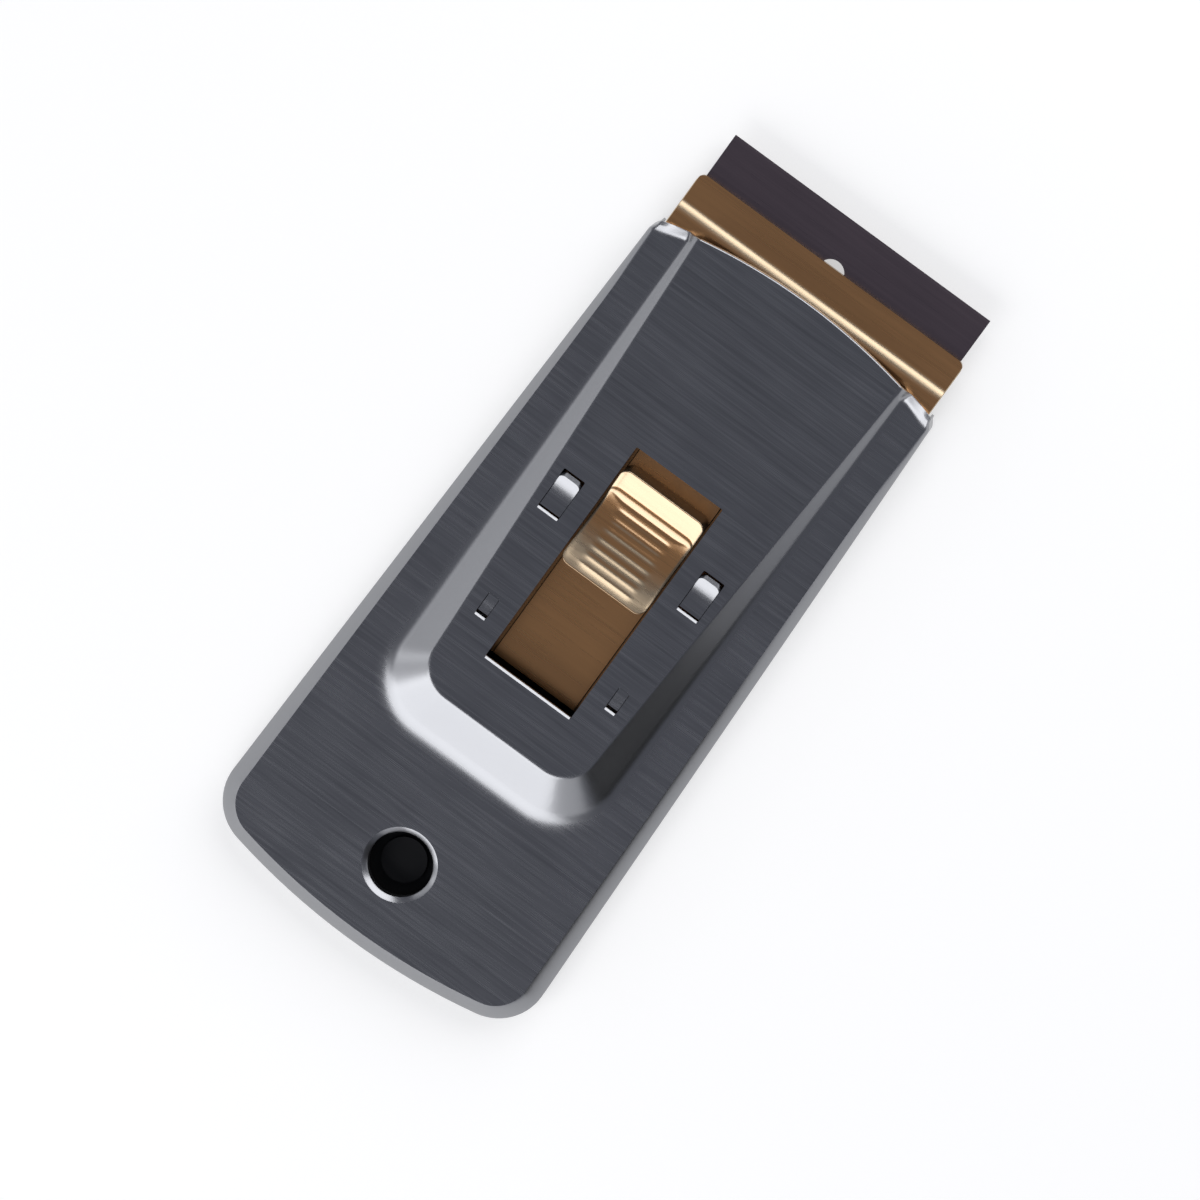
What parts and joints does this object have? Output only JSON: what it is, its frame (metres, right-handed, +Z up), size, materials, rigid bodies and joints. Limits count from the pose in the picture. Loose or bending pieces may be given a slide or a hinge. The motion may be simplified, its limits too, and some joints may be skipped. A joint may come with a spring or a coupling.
{
  "type": "razor blade scraper",
  "caption": "Pocket scraper with a pressed steel casing, and a gold-finished slide that pushes a single-edge razor blade out of its mouth and draws it back.",
  "frame": {"origin": "middle of the object's box at rest with the blade out, on the plane that its back lies on", "axes": "+Y along the tool towards the blade's edge, +Z up through the thumb side, +X to the right seen from above with the blade ahead"},
  "size_m": [0.0472, 0.1094, 0.0091],
  "materials": {
    "casing_steel": "brushed across the width, bright on the slopes",
    "spring_steel": "plain spring steel",
    "gold_plate": "bright gold-coloured plating",
    "blade_steel": "dark, finely ground"
  },
  "bodies": {
    "casing": {"top_shell": "casing_steel", "back_shell": "casing_steel", "friction_spring": "spring_steel"},
    "slide": {"blade_carrier": "gold_plate", "thumb_grip": "gold_plate", "clamp_plate": "gold_plate", "clamp_rivets": "gold_plate", "blade": "blade_steel", "blade_spine": "blade_steel"}
  },
  "joints": [
    {"name": "blade_slide", "type": "slide", "parent": "casing", "child": "slide", "axis": [0, 1, 0], "range_m": [-0.0148, 0.0015]}
  ]
}
